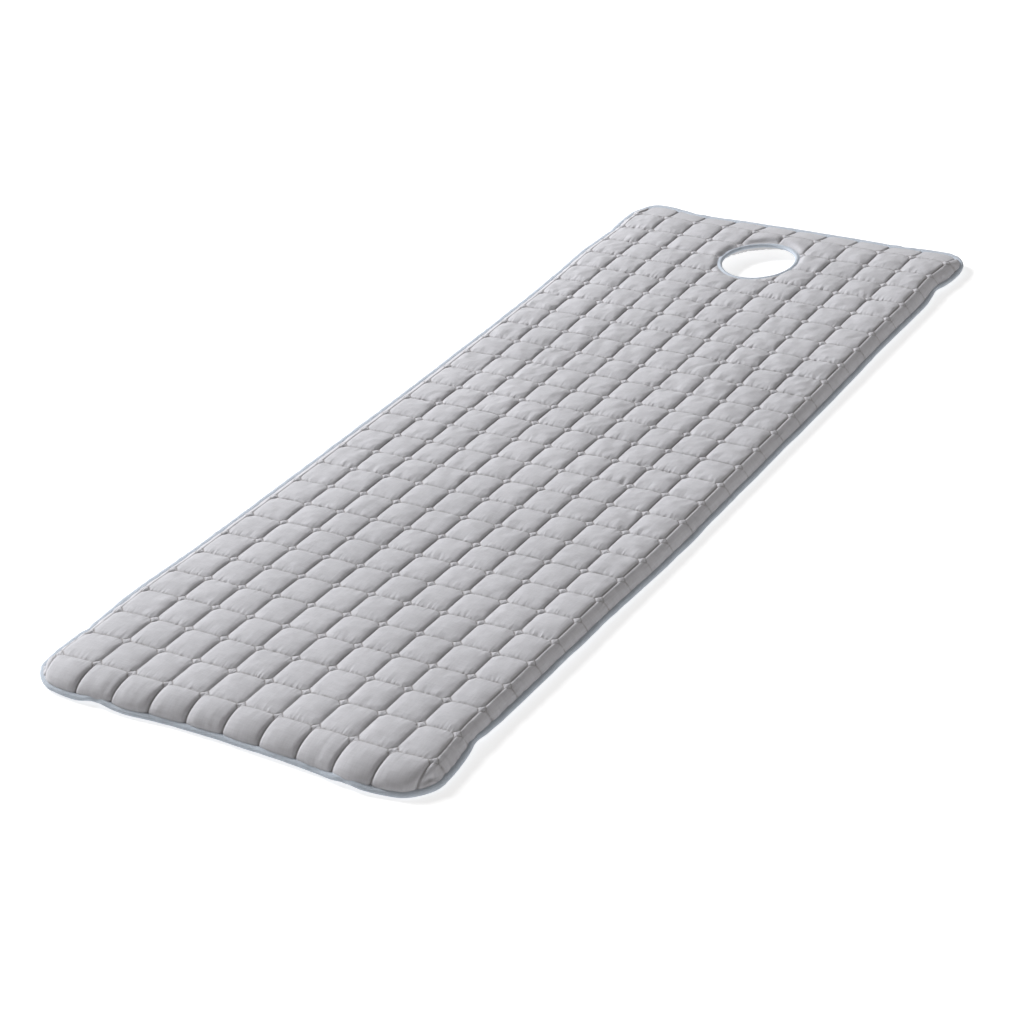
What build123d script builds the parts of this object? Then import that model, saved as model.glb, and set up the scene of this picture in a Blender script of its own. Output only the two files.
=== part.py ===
"""Quilted pad for a massage table, with a bound face opening and four elastic corner straps.

Frame: millimetres, +Z up, the pad lies flat on Z = 0.  +Y points to the head end, X runs
across the pad, and the origin is the centre of the footprint on the underside.

The pad is a quilted sandwich: top cover, lofty upper wadding, firmer lower batt, bottom cover.
The layers are pressed thin at the rim and at the face opening, where a folded tape binds them.
The rim tape lies close to the floor; the ring of the face opening sits high, level with the
quilting.  For storage both ends fold over the middle along two quilted rows, so every layer is
built in three sections: foot, middle and head.
"""
import os

from build123d import *

os.makedirs("parts", exist_ok=True)

# ---------------------------------------------------------------- driving dimensions
pad_width = 696.0            # across, binding included
pad_length = 1870.0          # foot to head, binding included
corner_radius = 45.0
pitch = 65.0                 # quilting grid, square
columns = 10                 # cells between the two edge lines of stitching
rows = 27                    # full cells between the first and the last cross line
first_row_y = -879.0         # first cross line of stitching, at the foot
top_z = 37.0                 # flat top of the filled pad
cover = 0.8                  # thickness of either cover with its backing scrim
split_z = 15.0               # lower batt below, upper wadding above
side_lean = 30.0             # degrees that the filled side leans in from the vertical
shoulder = 10.0              # radius of the shoulder between side and top

tape = 1.0                   # thickness of the binding tape
binding_width = 11.0         # how far the tape reaches over the pad
binding_low = 0.3            # the rim tape clears the floor by this much
flange_low = 1.3             # the pressed rim inside the tape
flange_high = 7.0

opening_x, opening_y = 67.0, 76.0      # half axes of the face opening
opening_centre_y = 762.0
ring_low, ring_high = 18.0, 28.0       # underside and top of the ring of tape
lower_flare = 0.9                      # plan distance per millimetre, underside of the pad to the ring
upper_flare = 1.2                      # plan distance per millimetre, ring to the top of the pad
wall = 1.1                             # plan thickness of a cover where it slopes

fold_foot_y = first_row_y + 6 * pitch          # foot fold, on a cross line
fold_head_y = first_row_y + 21 * pitch         # head fold, on a cross line
fold_gap = 0.4                                 # play between the sections

strap_width = 25.0
strap_low, strap_high = 0.6, 1.8
strap_reach = 130.0          # from the corner to where a strap is sewn in
strap_end = 14.5             # the straps end this far in from the rim
thread = 0.6

half_w, half_l = pad_width / 2, pad_length / 2
inner = binding_width + 1                      # where the covers step down to the pressed rim
strap_x = half_w - (strap_reach + inner) / 2
strap_y = half_l - (strap_reach + inner) / 2
tack_x = half_w - strap_end - 2.5
tack_y = half_l - strap_end - 2.5
tan_lean = 0.57735

sections = {
    "foot": (-1, None, fold_foot_y - fold_gap / 2),
    "middle": (0, fold_foot_y + fold_gap / 2, fold_head_y - fold_gap / 2),
    "head": (1, fold_head_y + fold_gap / 2, None),
}


def rim(inset, mode=Mode.ADD):
    """The pad's rounded outline, moved in by inset."""
    RectangleRounded(pad_width - 2 * inset, pad_length - 2 * inset, corner_radius - inset, mode=mode)


def opening(grow, mode=Mode.ADD):
    """The face opening's oval, made larger by grow."""
    with Locations((0, opening_centre_y)):
        Ellipse(opening_x + grow, opening_y + grow, mode=mode)


def straps(end, wider, ends_at):
    """The two corner straps of one end in plan, made wider, and cut off at the rim."""
    for side in (-1, 1):
        with Locations((side * strap_x, end * strap_y)):
            Rectangle(260, strap_width + 2 * wider, rotation=-45 * side * end)
    rim(ends_at, mode=Mode.INTERSECT)


def keep_section(low, high):
    """Keeps the part of the pad between two cross planes."""
    if low is not None:
        split(bisect_by=Plane((0, low, 0), z_dir=(0, 1, 0)), keep=Keep.TOP)
    if high is not None:
        split(bisect_by=Plane((0, high, 0), z_dir=(0, 1, 0)), keep=Keep.BOTTOM)


def lower_grow(z):
    """How much larger than the opening the underside's funnel is at height z."""
    return inner + 1 + (ring_low - z) * lower_flare


def upper_grow(z):
    """How much larger than the opening the top's funnel is at height z."""
    return inner + (z - ring_high + tape) * upper_flare


# ---------------------------------------------------------------- funnels at the face opening
with BuildPart() as lower_funnel:                       # open space under the ring
    with BuildSketch(Plane.XY.offset(0)):
        opening(lower_grow(0))
    with BuildSketch(Plane.XY.offset(ring_low + tape)):
        opening(lower_grow(ring_low + tape))
    loft()

with BuildPart() as lower_funnel_wide:                  # the same, with the bottom cover's thickness
    with BuildSketch(Plane.XY.offset(0)):
        opening(lower_grow(0) + wall)
    with BuildSketch(Plane.XY.offset(ring_low + tape)):
        opening(lower_grow(ring_low + tape) + wall)
    loft()

with BuildPart() as upper_funnel:                       # open space over the ring
    with BuildSketch(Plane.XY.offset(ring_high - tape)):
        opening(upper_grow(ring_high - tape))
    with BuildSketch(Plane.XY.offset(top_z + 2)):
        opening(upper_grow(top_z + 2))
    loft()

with BuildPart() as upper_funnel_wide:                  # the same, with the top cover's thickness
    with BuildSketch(Plane.XY.offset(ring_high - tape)):
        opening(upper_grow(ring_high - tape) + wall)
    with BuildSketch(Plane.XY.offset(top_z + 2)):
        opening(upper_grow(top_z + 2) + wall)
    loft()

# ---------------------------------------------------------------- the space inside the top cover
with BuildPart() as filling:
    with BuildSketch(Plane.XY.offset(flange_high)):
        rim(inner)
    extrude(amount=top_z - cover - flange_high, taper=side_lean)
    fillet(filling.faces().sort_by(Axis.Z)[-1].edges(), radius=shoulder - cover)

for name, (end, low, high) in sections.items():

    # ------------------------------------------------------------ bottom cover
    with BuildPart() as bottom_cover:
        with BuildSketch(Plane.XY):
            rim(inner)
        extrude(amount=cover)
        with BuildSketch(Plane.XY):                      # step up to the pressed rim
            rim(inner)
            rim(inner + 2, mode=Mode.SUBTRACT)
        extrude(amount=flange_low + cover)
        with BuildSketch(Plane.XY.offset(flange_low)):   # pressed rim, inside the tape
            rim(tape)
            rim(inner + 1, mode=Mode.SUBTRACT)
        extrude(amount=cover)
        if end:                                          # the cover arches over each strap
            with BuildSketch(Plane.XY):
                straps(end, 0.3 + cover, inner + 1)
            extrude(amount=strap_high + cover)
            with BuildSketch(Plane.XY):
                straps(end, 0.3, strap_end - 0.3)
            extrude(amount=strap_high, mode=Mode.SUBTRACT)
        if name == "head":
            add(lower_funnel_wide.part)
            with BuildSketch(Plane.XY.offset(ring_low + tape)):
                opening(lower_grow(ring_low + tape) + wall)
            extrude(amount=cover)
            add(lower_funnel.part, mode=Mode.SUBTRACT)
            with BuildSketch(Plane.XY):
                opening(tape)
            extrude(amount=ring_high, mode=Mode.SUBTRACT)
        keep_section(low, high)
    bottom_cover.part.label = f"bottom_cover_{name}"
    export_step(bottom_cover.part, f"parts/bottom_cover_{name}.step")

    # ------------------------------------------------------------ lower batt
    with BuildPart() as lower_batt:
        with BuildSketch(Plane.XY.offset(cover)):
            rim(inner + 2)
        extrude(amount=flange_low)
        with BuildSketch(Plane.XY.offset(flange_low + cover)):
            rim(tape)
        extrude(amount=flange_high - flange_low - 2 * cover)
        with BuildSketch(Plane.XY.offset(flange_high - cover)):
            rim(inner)
        extrude(amount=cover)
        with BuildSketch(Plane.XY.offset(flange_high)):
            rim(inner)
        extrude(amount=split_z - flange_high, taper=side_lean)
        if end:
            with BuildSketch(Plane.XY):
                straps(end, 0.3 + cover, inner + 1)
            extrude(amount=strap_high + cover, mode=Mode.SUBTRACT)
        if name == "head":
            add(lower_funnel_wide.part, mode=Mode.SUBTRACT)
        keep_section(low, high)
    lower_batt.part.label = f"lower_batt_{name}"
    export_step(lower_batt.part, f"parts/lower_batt_{name}.step")

    # ------------------------------------------------------------ upper wadding
    with BuildPart() as upper_wadding:
        add(filling.part)
        split(bisect_by=Plane.XY.offset(split_z), keep=Keep.TOP)
        if name == "head":
            add(lower_funnel_wide.part, mode=Mode.SUBTRACT)
            with BuildSketch(Plane.XY.offset(ring_low)):         # down to the bottom cover's rim
                opening(lower_grow(ring_low + tape) + wall)
            extrude(amount=tape + cover, mode=Mode.SUBTRACT)
            add(upper_funnel_wide.part, mode=Mode.SUBTRACT)
            with BuildSketch(Plane.XY.offset(ring_high - tape - cover)):
                opening(upper_grow(ring_high - tape) + wall)
            extrude(amount=cover, mode=Mode.SUBTRACT)
            with BuildSketch(Plane.XY.offset(split_z)):
                opening(tape)
            extrude(amount=top_z, mode=Mode.SUBTRACT)
        keep_section(low, high)
    upper_wadding.part.label = f"upper_wadding_{name}"
    export_step(upper_wadding.part, f"parts/upper_wadding_{name}.step")

    # ------------------------------------------------------------ top cover
    with BuildPart() as top_cover:
        with BuildSketch(Plane.XY.offset(flange_high)):
            rim(binding_width)
        extrude(amount=top_z - flange_high, taper=side_lean)
        fillet(top_cover.faces().sort_by(Axis.Z)[-1].edges(), radius=shoulder)
        add(filling.part, mode=Mode.SUBTRACT)
        with BuildSketch(Plane.XY.offset(flange_high - cover)):  # pressed rim, inside the tape
            rim(tape)
            rim(inner, mode=Mode.SUBTRACT)
        extrude(amount=cover)
        if name == "head":                                       # turned down to the ring
            add(upper_funnel_wide.part)
            split(bisect_by=Plane.XY.offset(top_z), keep=Keep.BOTTOM)
            with BuildSketch(Plane.XY.offset(ring_high - tape - cover)):
                opening(upper_grow(ring_high - tape) + wall)
            extrude(amount=cover)
            add(upper_funnel.part, mode=Mode.SUBTRACT)
            with BuildSketch(Plane.XY.offset(split_z)):
                opening(tape)
            extrude(amount=top_z, mode=Mode.SUBTRACT)
        keep_section(low, high)
    top_cover.part.label = f"top_cover_{name}"
    export_step(top_cover.part, f"parts/top_cover_{name}.step")

    # ------------------------------------------------------------ quilting thread
    with BuildPart() as quilting:
        with BuildSketch(Plane.XY.offset(top_z)):
            for i in range(1, columns):
                with Locations(((i - columns / 2) * pitch, first_row_y + rows * pitch / 2)):
                    Rectangle(thread, rows * pitch)
            for j in range(rows + 1):
                if j in (6, 21):                                 # the two fold lines stay free of thread
                    continue
                with Locations((0, first_row_y + j * pitch)):
                    Rectangle((columns - 2) * pitch, thread)
            opening(upper_grow(top_z) + 2, mode=Mode.SUBTRACT)
        extrude(amount=thread)
        keep_section(low, high)
    quilting.part.label = f"quilting_thread_{name}"
    export_step(quilting.part, f"parts/quilting_thread_{name}.step")

    # ------------------------------------------------------------ binding of the rim, and its thread
    with BuildPart() as binding:
        with BuildSketch(Plane.XY.offset(binding_low)):
            rim(0)
            rim(binding_width, mode=Mode.SUBTRACT)
        extrude(amount=flange_high + tape - binding_low)
        with BuildSketch(Plane.XY.offset(flange_low)):
            rim(tape)
            rim(inner, mode=Mode.SUBTRACT)
        extrude(amount=flange_high - flange_low, mode=Mode.SUBTRACT)
        keep_section(low, high)
    with BuildPart() as binding_thread:
        with BuildSketch(Plane.XY.offset(flange_high + tape)):
            rim(binding_width - 2.5)
            rim(binding_width - 2.5 + thread, mode=Mode.SUBTRACT)
        extrude(amount=thread)
        keep_section(low, high)
    if name == "middle":                                         # the two long sides
        for side, keep in (("left", Keep.BOTTOM), ("right", Keep.TOP)):
            with BuildPart() as side_binding:
                add(binding.part)
                split(bisect_by=Plane.YZ, keep=keep)
            side_binding.part.label = f"edge_binding_{side}"
            export_step(side_binding.part, f"parts/edge_binding_{side}.step")
            with BuildPart() as side_thread:
                add(binding_thread.part)
                split(bisect_by=Plane.YZ, keep=keep)
            side_thread.part.label = f"binding_thread_{side}"
            export_step(side_thread.part, f"parts/binding_thread_{side}.step")
    else:
        binding.part.label = f"edge_binding_{name}"
        export_step(binding.part, f"parts/edge_binding_{name}.step")
        binding_thread.part.label = f"binding_thread_{name}"
        export_step(binding_thread.part, f"parts/binding_thread_{name}.step")

# ---------------------------------------------------------------- ring of the face opening
with BuildPart() as face_binding:
    with BuildSketch(Plane.XY.offset(ring_low)):
        opening(binding_width)
        opening(0, mode=Mode.SUBTRACT)
    extrude(amount=ring_high - ring_low)
    with BuildSketch(Plane.XY.offset(ring_low + tape)):
        opening(binding_width + 1)
        opening(tape, mode=Mode.SUBTRACT)
    extrude(amount=ring_high - ring_low - 2 * tape, mode=Mode.SUBTRACT)
face_binding.part.label = "face_opening_binding"
export_step(face_binding.part, "parts/face_opening_binding.step")

with BuildPart() as face_thread:
    with BuildSketch(Plane.XY.offset(ring_high)):
        opening(binding_width - 2.5)
        opening(binding_width - 2.5 - thread, mode=Mode.SUBTRACT)
    extrude(amount=thread)
face_thread.part.label = "face_opening_thread"
export_step(face_thread.part, "parts/face_opening_thread.step")

# ---------------------------------------------------------------- corner straps and their bar tacks
for end_name, end in (("foot", -1), ("head", 1)):
    for side_name, keep in (("left", Keep.BOTTOM), ("right", Keep.TOP)):
        with BuildPart() as strap:
            with BuildSketch(Plane.XY.offset(strap_low)):
                straps(end, 0, strap_end)
            extrude(amount=strap_high - strap_low)
            split(bisect_by=Plane.YZ, keep=keep)
        strap.part.label = f"corner_strap_{end_name}_{side_name}"
        export_step(strap.part, f"parts/corner_strap_{end_name}_{side_name}.step")

    with BuildPart() as tacks:
        with BuildSketch(Plane.XY.offset(strap_low - 0.4)):
            for side in (-1, 1):
                with Locations((side * tack_x, end * (strap_x + strap_y - tack_x))):
                    Rectangle(1.6, 24)
                with Locations((side * (strap_x + strap_y - tack_y), end * tack_y)):
                    Rectangle(24, 1.6)
        extrude(amount=0.4)
    tacks.part.label = f"strap_bar_tacks_{end_name}"
    export_step(tacks.part, f"parts/strap_bar_tacks_{end_name}.step")
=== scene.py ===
import math

import bpy
import numpy as np
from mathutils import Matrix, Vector


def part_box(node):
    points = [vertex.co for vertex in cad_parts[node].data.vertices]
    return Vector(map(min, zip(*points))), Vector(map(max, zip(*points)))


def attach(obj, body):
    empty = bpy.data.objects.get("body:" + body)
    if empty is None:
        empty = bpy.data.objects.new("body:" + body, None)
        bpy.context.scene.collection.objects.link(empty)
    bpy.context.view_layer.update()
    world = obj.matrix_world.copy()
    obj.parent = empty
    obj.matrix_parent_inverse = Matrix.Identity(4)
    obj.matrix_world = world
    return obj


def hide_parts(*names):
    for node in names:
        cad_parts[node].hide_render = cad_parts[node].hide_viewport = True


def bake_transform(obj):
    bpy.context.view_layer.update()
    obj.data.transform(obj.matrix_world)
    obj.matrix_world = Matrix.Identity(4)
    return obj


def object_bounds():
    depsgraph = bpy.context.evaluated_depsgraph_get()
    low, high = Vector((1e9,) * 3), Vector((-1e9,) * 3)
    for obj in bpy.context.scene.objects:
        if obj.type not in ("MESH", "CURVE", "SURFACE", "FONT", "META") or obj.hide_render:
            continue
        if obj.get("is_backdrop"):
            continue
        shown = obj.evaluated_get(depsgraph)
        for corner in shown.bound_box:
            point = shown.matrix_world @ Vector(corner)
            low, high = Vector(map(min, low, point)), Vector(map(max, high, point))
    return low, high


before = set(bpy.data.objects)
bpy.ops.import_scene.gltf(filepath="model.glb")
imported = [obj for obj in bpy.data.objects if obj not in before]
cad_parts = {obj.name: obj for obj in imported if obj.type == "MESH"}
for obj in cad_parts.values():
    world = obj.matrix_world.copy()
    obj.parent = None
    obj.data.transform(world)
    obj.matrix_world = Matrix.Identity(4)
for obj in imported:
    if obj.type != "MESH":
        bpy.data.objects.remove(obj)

CAD_LO, CAD_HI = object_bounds()

# Everything below is worked out in millimetres and becomes metres when a mesh is made.
PITCH = 65.0
NI, NJ = 10, 27                  # quilted cells across and along
Y0 = -879.0                      # first cross line
X0 = -325.0
HALF_W = CAD_HI.x * 1000         # 348
HALF_L = CAD_HI.y * 1000         # 935
RADIUS = 45.0
VALLEY = 29.5                    # height of the quilting lines
PUFF = 4.9
HOLE = (67.0, 76.0, 762.0)       # half axes and centre of the face opening
FOLD_FOOT, FOLD_HEAD = Y0 + 6 * PITCH, Y0 + 21 * PITCH
CUTS = (Y0 + 8 * PITCH, Y0 + 14 * PITCH, Y0 + 19 * PITCH)   # where the visual pieces are cut, on stitched rows


# ------------------------------------------------------------------ helpers
def smooth(t):
    t = np.clip(t, 0, 1)
    return t * t * (3 - 2 * t)


def noise(x, y, seed):
    """Smooth value noise, -1 to 1."""
    x, y = np.broadcast_arrays(np.asarray(x, float), np.asarray(y, float))
    ix, iy = np.floor(x).astype(np.int64), np.floor(y).astype(np.int64)
    fx, fy = smooth(x - ix), smooth(y - iy)

    def h(a, b):
        k = (a * 374761393 + b * 668265263 + seed * 2246822519) & 0xFFFFFFFF
        k = ((k ^ (k >> 13)) * 1274126177) & 0xFFFFFFFF
        return ((k ^ (k >> 16)) & 0xFFFFFFFF) / 2147483647.5 - 1

    return ((h(ix, iy) * (1 - fx) + h(ix + 1, iy) * fx) * (1 - fy)
            + (h(ix, iy + 1) * (1 - fx) + h(ix + 1, iy + 1) * fx) * fy)


def hole_distance(x, y):
    """Rough distance outward from the face opening's edge."""
    return (np.sqrt((x / HOLE[0]) ** 2 + ((y - HOLE[2]) / HOLE[1]) ** 2) - 1) * 0.5 * (HOLE[0] + HOLE[1])


def rim_point(inset, phi_from, phi_to, t, sx, sy):
    """A point on the rounded corner's arc."""
    r = RADIUS - inset
    phi = phi_from + (phi_to - phi_from) * t
    return sx * (HALF_W - RADIUS + r * np.cos(phi)), sy * (HALF_L - RADIUS + r * np.sin(phi))


def edge_x(y, inset):
    """Half width of the outline, moved in by inset, at this y."""
    r = RADIUS - inset
    over = np.clip(np.abs(y) - (HALF_L - RADIUS), 0, r)
    return HALF_W - RADIUS + np.sqrt(r * r - over * over)


def edge_y(x, inset):
    r = RADIUS - inset
    over = np.clip(np.abs(x) - (HALF_W - RADIUS), 0, r)
    return HALF_L - RADIUS + np.sqrt(r * r - over * over)


# How the real cloth edge leaves the plain outline: (place along the side, outward, up), in millimetres.
EDGE_RIGHT = [(-935, -3, 0), (-860, -3, 2), (-797, -9, 6), (-720, -8, 4), (-640, -6, 5), (-560, -4, 5), (-400, -2, 3),
              (-300, 1, 1), (0, 2, 1), (400, 1, 2), (600, -1, 3), (740, -1, 2), (797, -4, 4), (860, 3, 3), (935, 3, 4)]
EDGE_LEFT = [(-935, 2, 2), (-860, 13, 4), (-797, 6, 9), (-700, 8, 12), (-560, 4, 13), (-300, 4, 14), (200, 2, 14),
             (600, 2, 13), (700, 5, 13), (797, 2, 12), (860, 4, 14), (935, 2, 12)]
EDGE_FOOT = [(-348, -4, 0), (-260, 6, 0), (-222, 4, 2), (-169, 6, 0), (-110, 1, 0), (0, 0, 0), (90, 4, 1), (165, 8, 0),
             (235, 16, 2), (298, 8, 0), (348, -4, 0)]
EDGE_HEAD = [(-348, 4, 15), (-290, 5, 17), (-222, -2, 14), (-100, 2, 13), (100, 3, 13), (222, 1, 13),
             (290, 5, 13), (348, 5, 10)]
# The pad lies slightly bowed: (place along, left side's shift inward, shift along, how it fades to the right side)
BOW = [(-935, 1, -6, 1.5), (-700, 4, -2, 1.4), (-500, 9, -3.5, 1.1), (-300, 14.5, -6.5, 1.0), (-100, 17, -7, 0.9),
       (100, 18, -8.5, 0.75), (300, 17, -7, 0.9), (490, 14, -2.5, 2.2), (680, 9, 0.5, 4.5), (935, 8, 1, 5.0)]


def along(table, at, k):
    """Smooth interpolation of one column of such a table, with a continuous slope."""
    t = np.array([r[0] for r in table], float)
    v = np.array([r[k] for r in table], float)
    m = np.gradient(v, t)
    at = np.clip(at, t[0], t[-1])
    i = np.clip(np.searchsorted(t, at) - 1, 0, len(t) - 2)
    h = t[i + 1] - t[i]
    f = (at - t[i]) / h
    return ((1 + 2 * f) * (1 - f) ** 2 * v[i] + f * (1 - f) ** 2 * h * m[i]
            + f * f * (3 - 2 * f) * v[i + 1] + f * f * (f - 1) * h * m[i + 1])


def lay(P):
    """Moves points of the plain pad to where the cloth lies."""
    x, y, z = P[..., 0], P[..., 1], P[..., 2]
    out = P.copy()
    reach = 85.0
    wr = smooth(1 - (HALF_W - x) / reach)
    wl = smooth(1 - (HALF_W + x) / reach)
    wf = smooth(1 - (HALF_L + y) / reach)
    wh = smooth(1 - (HALF_L - y) / reach)
    out[..., 0] += wr * along(EDGE_RIGHT, y, 1) - wl * along(EDGE_LEFT, y, 1)
    out[..., 1] += wh * along(EDGE_HEAD, x, 1) - wf * along(EDGE_FOOT, x, 1)
    ups = [w * along(t, s, 2) for w, t, s in ((wr, EDGE_RIGHT, y), (wl, EDGE_LEFT, y), (wf, EDGE_FOOT, x), (wh, EDGE_HEAD, x))]
    up = np.maximum.reduce(ups)
    low = smooth(1 - z / 34.0) * 0.75 + 0.25         # the rim lifts more than the crown above it
    out[..., 2] += up * low
    fade = np.clip((X0 + 650.0 - x) / 650.0, 0, 1) ** along(BOW, y, 3)
    out[..., 0] += along(BOW, y, 1) * fade
    out[..., 1] += along(BOW, y, 2)
    return out


# ------------------------------------------------------------------ the grid that both covers are made on
def cloth_grid(n, k_side, k_end):
    """Index arrays of a grid with n steps a cell, k_side extra columns a side and k_end extra rows an end."""
    cols = np.arange(-k_side, NI * n + k_side + 1)
    rows = np.arange(-k_end, NJ * n + k_end + 1)
    C, R = np.meshgrid(cols, rows)
    a = np.maximum(np.maximum(-C, C - NI * n), 0) / k_side
    b = np.maximum(np.maximum(-R, R - NJ * n), 0) / k_end
    x = X0 + np.clip(C, 0, NI * n) * PITCH / n
    y = Y0 + np.clip(R, 0, NJ * n) * PITCH / n
    return C, R, a, b, x, y


def spread(x, y, a, b, inset, plan):
    """Plan positions: the inner part stays, the rim is spread out to the outline at that inset. plan(r) is the profile."""
    px, py = x.copy(), y.copy()
    side, end = (a > 0) & (b == 0), (b > 0) & (a == 0)
    corner = (a > 0) & (b > 0)
    sx, sy = np.sign(x), np.sign(y)
    px[side] = sx[side] * (np.abs(x[side]) + plan(a[side]) * (edge_x(y[side], inset) - np.abs(x[side])))
    py[end] = sy[end] * (np.abs(y[end]) + plan(b[end]) * (edge_y(x[end], inset) - np.abs(y[end])))
    cx, cy = HALF_W - RADIUS, HALF_L - RADIUS
    A, B = a[corner], b[corner]
    t = np.where(A >= B, 0.5 * B / np.maximum(A, 1e-9), 1 - 0.5 * A / np.maximum(B, 1e-9))
    X, Y = np.abs(x[corner]), np.abs(y[corner])
    phi_side = np.arctan2(np.maximum(Y - cy, 0), edge_x(Y, inset) - cx)
    phi_end = np.arctan2(edge_y(X, inset) - cy, np.maximum(X - cx, 0))
    ox, oy = rim_point(inset, phi_side, phi_end, t, 1, 1)
    r = np.maximum(A, B)
    px[corner] = sx[corner] * (X + plan(r) * (ox - X))
    py[corner] = sy[corner] * (Y + plan(r) * (oy - Y))
    return px, py


def grid_normals(P):
    du = np.gradient(P, axis=1)
    dv = np.gradient(P, axis=0)
    n = np.cross(du, dv)
    return n / np.maximum(np.linalg.norm(n, axis=-1, keepdims=True), 1e-9)


def subdivide(P):
    """One Catmull-Clark step on a regular grid, border kept."""
    def one(A):
        mid = (A[:-1] + A[1:]) / 2
        even = A.copy()
        even[1:-1] = A[1:-1] * 0.75 + (A[:-2] + A[2:]) * 0.125
        out = np.empty((2 * len(A) - 1,) + A.shape[1:])
        out[0::2], out[1::2] = even, mid
        return out
    return np.swapaxes(one(np.swapaxes(one(P), 0, 1)), 0, 1)


def upsample(A):
    """Linear, for flat cloth coordinates and masks."""
    def one(B):
        out = np.empty((2 * len(B) - 1,) + B.shape[1:])
        out[0::2], out[1::2] = B, (B[:-1] + B[1:]) / 2
        return out
    return np.swapaxes(one(np.swapaxes(one(A), 0, 1)), 0, 1)


def make_mesh(name, verts, faces, uv=None, smooth_shade=True):
    """verts in millimetres; uv is per vertex, in metres of flat cloth."""
    faces = np.asarray(faces)
    me = bpy.data.meshes.new(name)
    me.vertices.add(len(verts))
    me.vertices.foreach_set("co", (np.asarray(verts, float) / 1000).astype(np.float32).ravel())
    n = faces.shape[1]
    me.loops.add(faces.size)
    me.loops.foreach_set("vertex_index", faces.ravel().astype(np.int32))
    me.polygons.add(len(faces))
    me.polygons.foreach_set("loop_start", np.arange(0, faces.size, n, dtype=np.int32))
    me.update(calc_edges=True)
    me.validate()
    if uv is not None:
        layer = me.uv_layers.new(name="cloth")
        layer.data.foreach_set("uv", np.asarray(uv, np.float32)[faces.ravel()].ravel())
    me.polygons.foreach_set("use_smooth", np.full(len(faces), smooth_shade))
    ob = bpy.data.objects.new(name, me)
    bpy.context.scene.collection.objects.link(ob)
    return ob


def grid_piece(name, P, UV, keep=None, flip=False):
    """A mesh from a grid of points, dropping the faces that keep is false for."""
    ny, nx = P.shape[:2]
    idx = np.arange(ny * nx).reshape(ny, nx)
    f = np.stack([idx[:-1, :-1], idx[:-1, 1:], idx[1:, 1:], idx[1:, :-1]], -1).reshape(-1, 4)
    if flip:
        f = f[:, ::-1]
    if keep is not None:
        f = f[keep.reshape(-1)]
    used = np.unique(f)
    back = np.full(ny * nx, -1)
    back[used] = np.arange(len(used))
    return make_mesh(name, P.reshape(-1, 3)[used], back[f], UV.reshape(-1, 2)[used])


# ------------------------------------------------------------------ top cover, before the cloth simulation
N = 15
K_SIDE, K_END = 8, 15
C, R, a, b, gx, gy = cloth_grid(N, K_SIDE, K_END)
r_edge = np.maximum(a, b)
plan_top = lambda r: np.sin(r * math.pi / 2)
px, py = spread(gx, gy, a, b, 6.0, plan_top)

bow = -2.0 * smooth((np.abs(gx) - 150) / 175) * smooth(1 - np.abs(gy) / 900) - 5.0 * smooth((-gx - 262) / 63)
sway = 0.9 * noise(gx / 210, gy / 210, 5)
z_seam = VALLEY + bow + sway
hd = hole_distance(px, py)
z_seam = z_seam - 3.2 * np.exp(-np.clip(hd - 6, 0, None) ** 2 / 9.0 ** 2)
z_rim = 4.8
share = np.where(a + b > 0, a / np.maximum(a + b, 1e-9), 0)
far = np.where(gx < 0, share, 0.45 * share) + np.where(gy > 0, 1 - share, 0) * (a + b > 0)
plan_r = plan_top(r_edge)
pz = z_rim + (z_seam - z_rim) * (far * (1 - plan_r ** 1.15) + (1 - far) * np.sqrt(np.maximum(1 - plan_r ** 2, 0)))
base = lay(np.stack([px, py, pz], -1))
normal = grid_normals(base)

gi, gj = C % N, R % N
di, dj = np.minimum(gi, N - gi), np.minimum(gj, N - gj)
step = PITCH / N
inside = (a == 0) & (b == 0)
u = (C % N) / N
v = np.where(b > 0, 1 - b, (R % N) / N)          # the foot and head rows count as one cell
ci = np.clip(C // N, 0, NI - 1)
cj = np.clip(np.floor_divide(R, N), -1, NJ)

cell = lambda seed: noise(ci * 1.0 + 0.5, cj * 1.0 + 0.5, seed)
amp = PUFF * (1 + 0.10 * cell(11))
dome = np.abs(np.sin(math.pi * u)) * np.abs(np.sin(math.pi * v))
to_u, to_v = np.minimum(u, 1 - u) * PITCH, np.minimum(v, 1 - v) * PITCH
row = (1 - np.exp(-to_u / 6.0)) * (1 - 0.78 * np.exp(-to_v / 7.0)) * (0.74 + 0.26 * dome)
man = (di + dj) * step
near = np.where(b > 0, 1e9, man)
cut_corner = smooth((near - 2 * step) / 13.0)
D = amp * row * cut_corner
bump = 0.9 * np.clip(1 - man / (2 * step), 0, 1) ** 0.3
D = np.where(inside & (man < 2 * step), np.maximum(bump, 0), D)

# foot and head rows: one tall puff a column, fuller low down
end_row = (b > 0) & (a == 0)
D = np.where(end_row, np.where(gy > 0, 1.5, PUFF * 1.25) * (np.abs(np.sin(math.pi * u)) ** 0.42) * np.sin(math.pi * b ** 0.9) ** 0.5, D)
# long margins: a narrow roll
side_row = (a > 0) & (b == 0)
D = np.where(side_row, np.where(gx < 0, 0.2, 1.2) * np.sin(math.pi * a) ** 0.7, D)
D = np.where((a > 0) & (b > 0), 2.4 * np.sin(math.pi * np.clip(r_edge, 0, 1)) ** 0.7, D)

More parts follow.
